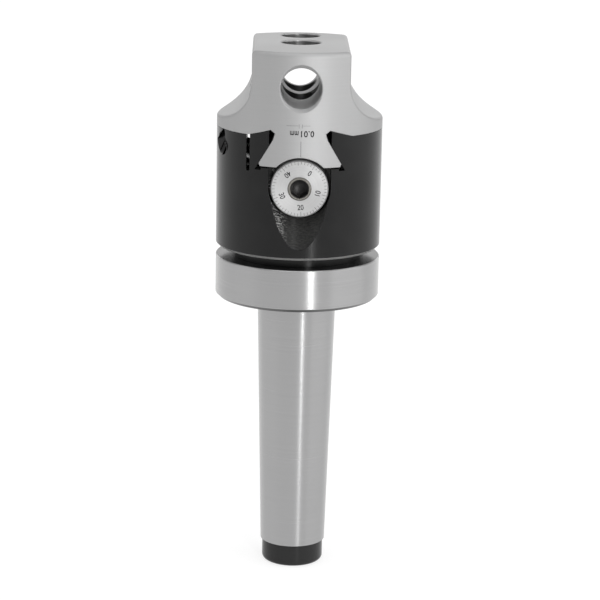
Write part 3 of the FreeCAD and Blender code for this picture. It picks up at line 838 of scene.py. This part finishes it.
@dataclass
class ScrewThread:
    """Outside or inside form of a metric thread.

    Args:
        major: Outside radius.
        pitch: Pitch.
        steps: Sides to a turn.
    """

    major: float
    pitch: float
    steps: int = 36

    @property
    def minor(self) -> float:
        """Root radius."""
        return self.major - 0.6 * self.pitch

    def rod(self, length: float) -> Piece:
        """Threaded rod from height 0 to its length, with flat closed ends.

        Args:
            length: Length.

        Returns:
            The rod.
        """
        turns = math.ceil(length / self.pitch) + 3
        start = -1.5 * self.pitch
        tooth = [
            (self.minor, start),
            (self.major, start + 0.40 * self.pitch),
            (self.major, start + 0.52 * self.pitch),
            (self.minor, start + 0.92 * self.pitch),
            (self.minor, start + self.pitch),
        ]
        piece = wound(tooth, self.pitch, turns, self.steps)
        faced_off(piece, length, upwards=True)
        faced_off(piece, 0.0, upwards=False)
        return piece

    def ridge(self, length: float) -> Piece:
        """Ridge of a threaded hole's wall from height 0 upwards, a little sunk in the wall.

        Args:
            length: Length of hole.

        Returns:
            The ridge.
        """
        turns = max(1, math.floor(length / self.pitch - 0.9))
        root = self.major + 0.02 * self.pitch
        crest = self.minor + 0.02 * self.pitch
        tooth = [
            (root, 0.0),
            (crest, 0.36 * self.pitch),
            (crest, 0.50 * self.pitch),
            (root, 0.86 * self.pitch),
            (root, 0.0),
        ]
        piece = wound(tooth, self.pitch, turns, self.steps)
        only(piece)
        edit_all()
        bpy.ops.mesh.fill_holes(sides=6)
        close_edit()
        return piece


@dataclass
class SetScrews:
    """The M6 set screws of the head: threaded, with countersunk hexagon sockets.

    Args:
        major: Radius over the threads, just under the hole's.
        pitch: Pitch.
        socket: Key size.
        socket_depth: Depth of the socket.
        dog_radius: Radius of the lock screws' turned point.
        dog_length: Length of that point.
    """

    major: float = 2.94 * MM
    pitch: float = 1.0 * MM
    socket: float = 3.0 * MM
    socket_depth: float = 3.0 * MM
    dog_radius: float = 2.0 * MM
    dog_length: float = 3.0 * MM

    def screw(self, length: float, dog: bool) -> Piece:
        """One set screw from its point at height 0 to its head.

        Args:
            length: Whole length.
            dog: Whether it has a turned point, or a flat one.

        Returns:
            The screw.
        """
        start = self.dog_length if dog else 0.0
        thread = ScrewThread(self.major, self.pitch)
        body = thread.rod(length - start)
        blank = turned([
            (0.0, 0.0),
            (thread.minor - 0.05 * MM, 0.0),
            (self.major + 0.4 * MM, 0.75 * MM),
            (self.major + 0.4 * MM, length - start - 0.7 * MM),
            (thread.minor - 0.05 * MM, length - start),
            (0.0, length - start),
        ], 48)
        bored(body, blank, Cut.COMMON)
        put(body, Matrix.Translation((0, 0, start)))
        bored(body, hexagon_cutter(self.socket, length - self.socket_depth, length + MM))
        corner = self.socket / math.sqrt(3.0)
        sink = turned([
            (0.0, length - 0.35 * MM),
            (corner - 0.1 * MM, length - 0.35 * MM),
            (corner + 0.45 * MM, length + 0.1 * MM),
            (0.0, length + 0.1 * MM),
        ], 40)
        bored(body, sink)
        return smoothed(body, 30)

    def point(self) -> Piece:
        """Turned point of a lock screw, from height 0 to a little inside the screw."""
        edge = 0.25 * MM
        return smoothed(turned([
            (0.0, 0.0),
            (self.dog_radius - edge, 0.0),
            (self.dog_radius, edge),
            (self.dog_radius, self.dog_length + 0.5 * MM),
            (0.0, self.dog_length + 0.5 * MM),
        ], 40), 30)

    def build(self, finishes: Finishes) -> None:
        """Makes every set screw and puts it where its node is.

        Args:
            finishes: The head's materials.
        """
        for side in ("front", "rear"):
            node = "lock_screw_" + side
            axis = joint_axis(side + "_lock_turn")
            self.stand_in(finishes, node, side + "_lock", axis, dog=True)
        for place in ("front", "centre", "rear"):
            node = "bar_screw_" + place
            axis = node_axis(node, Vector((-1, 0, 0)))
            self.stand_in(finishes, node, place + "_bar_clamp", axis, dog=False)
        axis = node_axis("shank_lock_screw", Vector((0, 1, 0)))
        self.stand_in(finishes, "shank_lock_screw", "head", axis, dog=False)

    def stand_in(self, finishes: Finishes, node: str, body: str, axis: Axis, dog: bool) -> None:
        """Puts a detailed screw in place of a plain one.

        Args:
            finishes: The head's materials.
            node: The frame's node that it replaces.
            body: The body that it rides on.
            axis: Its axis, pointing out of the head.
            dog: Whether it has a turned point.
        """
        near, far = axis.station(node, False), axis.station(node, True)
        piece = self.screw(far - near, dog)
        put(piece, axis.place(near))
        finishes.finish(piece, node + "_detail", body, "screw_steel")
        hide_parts(node)
        if dog:
            point = put(self.point(), axis.place(near))
            finishes.finish(point, node + "_point", body, "screw_steel", "point_steel")
            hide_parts(node)


@dataclass
class ThreadedHoles:
    """Threads that show in the mouths of the head's tapped holes.

    Args:
        hole_radius: Radius of the M6 holes over their threads.
        pitch: Their pitch.
        mouth: Chamfer at a hole's mouth.
        drawbar_radius: Radius of the drawbar hole.
        drawbar_pitch: Pitch of the drawbar's thread.
    """

    hole_radius: float = 3.0 * MM
    pitch: float = 1.0 * MM
    mouth: float = 0.5 * MM
    drawbar_radius: float = 6.0 * MM
    drawbar_pitch: float = 1.75 * MM

    def build(self, finishes: Finishes) -> None:
        """Makes the threads.

        Args:
            finishes: The head's materials.
        """
        head_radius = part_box("head_body")[1].x
        thread = ScrewThread(self.hole_radius, self.pitch)
        for side in ("front", "rear"):
            axis = joint_axis(side + "_lock_turn")
            start = axis.station("lock_screw_" + side, True)
            shallow = math.sqrt(head_radius ** 2 - (abs(axis.origin.y) + self.hole_radius) ** 2)
            end = (shallow + axis.origin.x) / -axis.direction.x
            self.line(finishes, thread, axis, start, end, "lock_thread_" + side, "black_steel")
        axis = node_axis("shank_lock_screw", Vector((0, 1, 0)))
        end = head_radius - axis.origin.y - self.mouth
        start = axis.station("shank_lock_screw", True)
        self.line(finishes, thread, axis, start, end, "shank_lock_thread", "black_steel")
        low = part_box("taper_shank")[0].z
        length = mount("drawbar_thread")["dims"]["length_mm"] * MM
        mouth = Axis(Vector((0, 0, low + 1.6 * MM)), Vector((0, 0, 1)))
        coarse = ScrewThread(self.drawbar_radius, self.drawbar_pitch, 48)
        self.line(finishes, coarse, mouth, 0.0, length, "drawbar_thread_ridge",
                  "ground_steel", "screw_steel")

    def line(self, finishes: Finishes, thread: ScrewThread, axis: Axis, start: float, end: float,
             name: str, slot: str, material: str = "") -> None:
        """Lines a stretch of hole with its thread.

        Args:
            finishes: The head's materials.
            thread: Form of the thread.
            axis: Axis of the hole.
            start: Where the stretch begins along the axis.
            end: Where it ends.
            name: Name of the piece.
            slot: The record's slot that it belongs to.
            material: Name of its material, if it isn't the slot's.
        """
        piece = smoothed(thread.ridge(end - start - 0.05 * MM), 40)
        put(piece, axis.place(start + 0.05 * MM))
        finishes.finish(piece, name, "head", slot, material)


@dataclass
class FeedScrew:
    """Adjusting screw behind the dial: journal, collar, fine thread and hexagon socket.

    Args:
        radius: Radius of the journal.
        pitch: Pitch of the feed thread.
        collar_radius: Radius of the thrust collar.
        socket: Key size.
        socket_depth: Depth of the socket.
        edge: Width of small chamfers.
        run_out: Plain stretch behind the collar.
        gap: Play on each side of the collar.
    """

    radius: float = 3.5 * MM
    pitch: float = 0.5 * MM
    collar_radius: float = 4.75 * MM
    socket: float = 5.0 * MM
    socket_depth: float = 4.6 * MM
    edge: float = 0.3 * MM
    run_out: float = 3.0 * MM
    gap: float = 0.03 * MM

    def build(self, finishes: Finishes) -> None:
        """Makes the screw along its joint's axis.

        Args:
            finishes: The head's materials.
        """
        axis = joint_axis("feed_screw_turn")
        rear, front = axis.station("adjusting_screw", False), axis.station("adjusting_screw", True)
        washer_rear = axis.station("thrust_washer_rear", True)
        washer_front = axis.station("thrust_washer_front", False)
        joint = washer_rear - self.run_out
        journal = turned([
            (0.0, joint),
            (self.radius - self.edge, joint),
            (self.radius, joint + self.edge),
            (self.radius, washer_rear + self.gap),
            (self.collar_radius, washer_rear + self.gap),
            (self.collar_radius, washer_front - self.gap),
            (self.radius, washer_front - self.gap),
            (self.radius, front - self.edge),
            (self.radius - self.edge, front),
            (0.0, front),
        ], 64)
        bored(journal, hexagon_cutter(self.socket, front - self.socket_depth, front + MM))
        corner = self.socket / math.sqrt(3.0)
        sink = turned([
            (0.0, front - self.edge),
            (corner - self.edge, front - self.edge),
            (corner + 0.12 * MM, front + 0.1 * MM),
            (0.0, front + 0.1 * MM),
        ], 48)
        bored(journal, sink)
        smoothed(journal, 30)
        put(journal, axis.place())
        finishes.finish(journal, "adjusting_screw_journal", "feed_screw",
                        "screw_steel", "screw_ring")
        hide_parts("adjusting_screw")
        thread = ScrewThread(self.radius - 0.02 * MM, self.pitch, 32).rod(joint - rear)
        smoothed(thread, 50)
        put(thread, axis.place(rear))
        finishes.finish(thread, "feed_thread", "feed_screw", "screw_steel")
        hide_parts("adjusting_screw")


@dataclass
class DialMarks:
    """Divisions and numbers of the graduated dial.

    Args:
        divisions: Number of divisions.
        numbered: A number stands at each of these many divisions.
        zero_turn: Angle of the zero, clockwise from the top as one faces the dial, in degrees.
        rim: Outer radius of the lines.
        short: Length of a short line.
        medium: Length of a five's line.
        long: Length of a ten's line.
        width: Width of a line.
        figure: Height of the numbers.
        figure_radius: Radius of the numbers' middles.
        squeeze: Width of the numbers, 1 for the usual one.
        weight: How far the numbers' strokes are widened on each side.
        proud: How far the marks stand off the face.
    """

    divisions: int = 50
    numbered: int = 10
    zero_turn: float = 32.0
    rim: float = 8.1 * MM
    short: float = 0.75 * MM
    medium: float = 1.05 * MM
    long: float = 1.3 * MM
    width: float = 0.11 * MM
    figure: float = 1.55 * MM
    figure_radius: float = 5.6 * MM
    squeeze: float = 0.85
    weight: float = 0.03 * MM
    proud: float = 0.012 * MM

    def line_length(self, step: int) -> float:
        """Length of the line at a division."""
        if step % self.numbered == 0:
            return self.long
        return self.medium if step % 5 == 0 else self.short

    def build(self, finishes: Finishes) -> None:
        """Makes the lines and the numbers on the dial's face.

        Args:
            finishes: The head's materials.
        """
        axis = joint_axis("feed_screw_turn")
        face = axis.station("graduated_dial", True)
        facing = Matrix.Rotation(math.radians(90), 4, "X")
        on_face = Matrix.Translation(axis.origin + axis.direction * (face - self.proud)) @ facing
        lines = [self.division(step, on_face) for step in range(self.divisions)]
        finishes.finish(joined(lines), "dial_divisions", "feed_screw", "dial_steel", "etched_ink")
        for step in range(0, self.divisions, self.numbered):
            number = lettered(str(step), self.figure, 2 * self.proud, self.weight)
            upright = Matrix.Rotation(math.pi, 4, "Z") @ Matrix.Diagonal((self.squeeze, 1, 1, 1))
            outwards = Matrix.Translation((0, self.figure_radius, 0))
            put(number, on_face @ self.turned_to(step) @ outwards @ upright)
            finishes.finish(number, f"dial_number_{step}", "feed_screw", "dial_steel", "etched_ink")

    def turned_to(self, step: int) -> Matrix:
        """Turn of a division clockwise from the top of the dial."""
        angle = self.zero_turn + 360.0 * step / self.divisions
        return Matrix.Rotation(-math.radians(angle), 4, "Z")

    def division(self, step: int, on_face: Matrix) -> Piece:
        """One division line.

        Args:
            step: Its number.
            on_face: Place of the dial's face.

        Returns:
            The line.
        """
        deselect_all()
        length = self.line_length(step)
        bpy.ops.mesh.primitive_plane_add(size=1.0)
        line = bpy.context.object
        line.scale = (self.width, length, 1)
        bpy.ops.object.transform_apply(scale=True)
        edit_all()
        thickened(2 * self.proud)
        outwards = Matrix.Translation((0, self.rim - length / 2, 0))
        return put(line, on_face @ self.turned_to(step) @ outwards)


@dataclass
class SlideMarks:
    """Index line and scale value on the slide's round front.

    Args:
        number: The scale value's number.
        unit: Its unit.
        figure: Height of the figures.
        text_z: Height of the letters' middle.
        number_x: Place of the number's middle.
        unit_x: Place of the unit's middle.
        line_x: Place of the index line.
        line_top: Height of the index line's top.
        line_bottom: Height of its bottom.
        scribe_z: Height of the scribed lines over the text.
        scribes: Place and length of the scribed lines.
        ticks: Places of the two short ticks through them.
        width: Width of the lines.
        weight: How far the letters' strokes are widened on each side.
        proud: How far the marks stand off the steel.
    """

    number: str = "0.01"
    unit: str = "mm"
    figure: float = 1.75 * MM
    text_z: float = 58.9 * MM
    number_x: float = 1.85 * MM
    unit_x: float = -1.85 * MM
    line_x: float = 0.15 * MM
    line_top: float = 56.6 * MM
    line_bottom: float = 52.0 * MM
    scribe_z: float = 61.2 * MM
    scribes: tuple[tuple[float, float], ...] = ((-2.4 * MM, 3.5 * MM), (1.7 * MM, 2.2 * MM))
    ticks: tuple[float, ...] = (-0.45 * MM, 0.45 * MM)
    width: float = 0.1 * MM
    weight: float = 0.05 * MM
    proud: float = 0.012 * MM

    def wrap(self, piece: Piece) -> Piece:
        """Lays a flat drawing in the XZ plane onto the slide's front.

        Args:
            piece: The drawing, some way in front of the slide.

        Returns:
            The drawing as a thin solid on the steel.
        """
        only(piece)
        lay = piece.modifiers.new("lay", "SHRINKWRAP")
        lay.wrap_method = "PROJECT"
        lay.use_project_x = False
        lay.use_project_y = True
        lay.use_project_z = False
        lay.use_negative_direction = True
        lay.use_positive_direction = True
        lay.target = frame["nodes"]["tool_slide"]
        lay.wrap_mode = "ABOVE_SURFACE"
        lay.offset = self.proud
        bpy.ops.object.modifier_apply(modifier=lay.name)
        thick = piece.modifiers.new("thick", "SOLIDIFY")
        thick.thickness = 2 * self.proud
        thick.offset = 0.0
        bpy.ops.object.modifier_apply(modifier=thick.name)
        return piece

    def stroke(self, x: float, z: float, width: float, height: float) -> Piece:
        """A straight stroke in front of the slide.

        Args:
            x: Place of its middle.
            z: Height of its middle.
            width: Size along X.
            height: Size along Z.

        Returns:
            The stroke as a flat grid that can bend.
        """
        deselect_all()
        bpy.ops.mesh.primitive_grid_add(x_subdivisions=12, y_subdivisions=4, size=1.0)
        piece = bpy.context.object
        piece.scale = (width, height, 1)
        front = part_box("tool_slide")[0].y
        upright = Matrix.Rotation(math.radians(90), 4, "X")
        return put(piece, Matrix.Translation((x, front - MM, z)) @ upright)

    def build(self, finishes: Finishes) -> None:
        """Makes the marks.

        Args:
            finishes: The head's materials.
        """
        middle = (self.line_top + self.line_bottom) / 2
        strokes = [self.stroke(self.line_x, middle, self.width, self.line_top - self.line_bottom)]
        strokes += [self.stroke(x, self.scribe_z, length, 0.06 * MM) for x, length in self.scribes]
        tick_z = self.scribe_z - 0.15 * MM
        strokes += [self.stroke(x, tick_z, 0.08 * MM, 1.2 * MM) for x in self.ticks]
        lines = self.wrap(joined(strokes))
        finishes.finish(lines, "slide_index_lines", "slide", "satin_steel", "etched_ink")
        number = self.words(self.number, self.number_x, 0.92)
        unit = self.words(self.unit, self.unit_x, 0.66)
        value = self.wrap(joined([number, unit]))
        finishes.finish(value, "slide_scale_value", "slide", "satin_steel", "etched_ink")

    def words(self, text: str, x: float, squeeze: float) -> Piece:
        """Letters that stand on their heads in front of the slide.

        Args:
            text: What is written.
            x: Place of the letters' middle.
            squeeze: Width of the letters, 1 for the usual one.

        Returns:
            The letters as a flat piece.
        """
        piece = lettered(text, self.figure, self.proud, self.weight, 1.1)
        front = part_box("tool_slide")[0].y
        place = Matrix.Translation((x, front - MM, self.text_z)) @ Matrix.Rotation(math.pi, 4, "Y")
        flat = Matrix.Rotation(math.radians(90), 4, "X") @ Matrix.Diagonal((squeeze, 1, 1, 1))
        return put(piece, place @ flat)


# ---------------------------------------------------------------- studio


@dataclass(frozen=True)
class Lamp:
    """Soft rectangular lamp that points at the head.

    Args:
        name: Its name.
        azimuth: Degrees to the right of straight in front.
        elevation: Degrees above the horizon.
        distance: Metres from the head.
        width: Width.
        height: Height.
        watts: Power.
    """

    name: str
    azimuth: float
    elevation: float
    distance: float
    width: float
    height: float
    watts: float

    def build(self) -> None:
        """Makes the lamp in its place."""
        data = bpy.data.lights.new(self.name, "AREA")
        data.shape = "RECTANGLE"
        data.size = self.width
        data.size_y = self.height
        data.energy = self.watts
        lamp = bpy.data.objects.new(self.name, data)
        bpy.context.scene.collection.objects.link(lamp)
        side, rise = math.radians(self.azimuth), math.radians(self.elevation)
        level = math.cos(rise)
        back = Vector((math.sin(side) * level, -math.cos(side) * level, math.sin(rise)))
        lamp.location = back * self.distance
        lamp.rotation_mode = "QUATERNION"
        lamp.rotation_quaternion = back.to_track_quat("Z", "Y")


@dataclass
class Studio:
    """Pale floor, soft light and the camera.

    Args:
        world_level: Level of the surrounding light.
        floor_size: Size of the floor.
        glow: Light of the floor's own where it is seen.
        paper: Base colour of the floor where it is seen.
        lamps: The lamps.
        camera_at: Place of the camera.
        camera_right: Direction to the right of the picture.
        camera_up: Direction up the picture.
        lens: Focal length in millimetres on a 36 mm sensor.
    """

    world_level: float = 0.55
    floor_size: float = 12.0
    glow: float = 0.76
    paper: float = 0.30
    lamps: tuple[Lamp, ...] = (
        Lamp("key_right", 75.0, 25.0, 1.5, 1.7, 1.6, 9.0),
        Lamp("fill_left", -80.0, 30.0, 1.6, 1.2, 1.4, 3.2),
        Lamp("strip_front", 18.6, 4.0, 0.9, 0.06, 0.8, 3.6),
        Lamp("top", 0.0, 80.0, 1.5, 1.3, 1.3, 6.0),
        Lamp("back", 180.0, 22.0, 1.7, 2.2, 0.9, 6.0),
    )
    camera_at: tuple[float, float, float] = (-0.00825, -0.66594, 0.16864)
    camera_right: tuple[float, float, float] = (0.99979, -0.00948, 0.01819)
    camera_up: tuple[float, float, float] = (-0.01536, 0.24181, 0.97020)
    lens: float = 133.63

    def camera(self) -> None:
        """Makes the camera and uses it for the scene."""
        data = bpy.data.cameras.new("camera")
        data.lens = self.lens
        data.sensor_width = 36.0
        data.clip_start = 0.01
        data.clip_end = 50.0
        camera = bpy.data.objects.new("camera", data)
        bpy.context.scene.collection.objects.link(camera)
        right, up = Vector(self.camera_right).normalized(), Vector(self.camera_up).normalized()
        back = right.cross(up).normalized()
        turn = Matrix((right, back.cross(right), back)).transposed().to_4x4()
        camera.matrix_world = Matrix.Translation(self.camera_at) @ turn
        bpy.context.scene.camera = camera
        bpy.context.scene.view_settings.view_transform = "Standard"

    def world(self) -> None:
        """Even pale surroundings, white where the camera sees them."""
        world = bpy.data.worlds.new("surroundings")
        bpy.context.scene.world = world
        world.use_nodes = True
        nodes, links = world.node_tree.nodes, world.node_tree.links
        background = nodes["Background"]
        background.inputs["Color"].default_value = (1, 1, 1, 1)
        rays = nodes.new("ShaderNodeLightPath")
        level = nodes.new("ShaderNodeMix")
        level.data_type = "FLOAT"
        level.inputs[2].default_value = self.world_level
        level.inputs[3].default_value = 1.0
        links.new(rays.outputs["Is Camera Ray"], level.inputs[0])
        links.new(level.outputs[0], background.inputs["Strength"])

    def floor(self) -> None:
        """White floor that keeps the object's soft shadow."""
        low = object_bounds()[0].z
        deselect_all()
        bpy.ops.mesh.primitive_plane_add(size=self.floor_size, location=(0, 0, low - 0.02 * MM))
        floor = bpy.context.object
        floor.name = "floor"
        tree = ShaderTree("floor_paper")
        grain = tree.noise(tree.position(), 30.0, 2.0)
        tone = tree.blend(grain, grey(0.90), grey(0.92))
        paper = tree.node("BsdfDiffuse", tone)
        shine = tree.node("Emission", (1, 1, 1, 1), self.glow)
        seen_paper = tree.node("BsdfDiffuse", grey(self.paper))
        seen = tree.node("AddShader", seen_paper.outputs[0], shine.outputs[0])
        rays = tree.node("LightPath")
        direct = tree.math("MAXIMUM", rays.outputs["Is Camera Ray"], rays.outputs["Is Glossy Ray"])
        direct = tree.math("MAXIMUM", direct, rays.outputs["Is Transmission Ray"])
        mixed = tree.node("MixShader", direct, paper.outputs[0], seen.outputs[0])
        tree.links.new(mixed.outputs[0], tree.nodes["Material Output"].inputs["Surface"])
        floor.data.materials.append(tree.material)
        floor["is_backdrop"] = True

    def build(self) -> None:
        """Makes the whole studio."""
        self.world()
        self.floor()
        for lamp in self.lamps:
            lamp.build()
        self.camera()


def corners(bounds: tuple[Vector, Vector]) -> list[list[float]]:
    """Lowest and highest corner as plain lists of numbers."""
    return [list(corner) for corner in bounds]


def main() -> None:
    """Dresses the frame, builds the detailed pieces and sets up the studio."""
    logging.basicConfig(level=logging.INFO, format="%(message)s")
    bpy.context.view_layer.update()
    deselect_all()
    finishes = Finishes()
    finishes.dress_frame()
    SetScrews().build(finishes)
    ThreadedHoles().build(finishes)
    FeedScrew().build(finishes)
    DialMarks().build(finishes)
    SlideMarks().build(finishes)
    Studio().build()
    deselect_all()


if __name__ == "__main__":
    main()
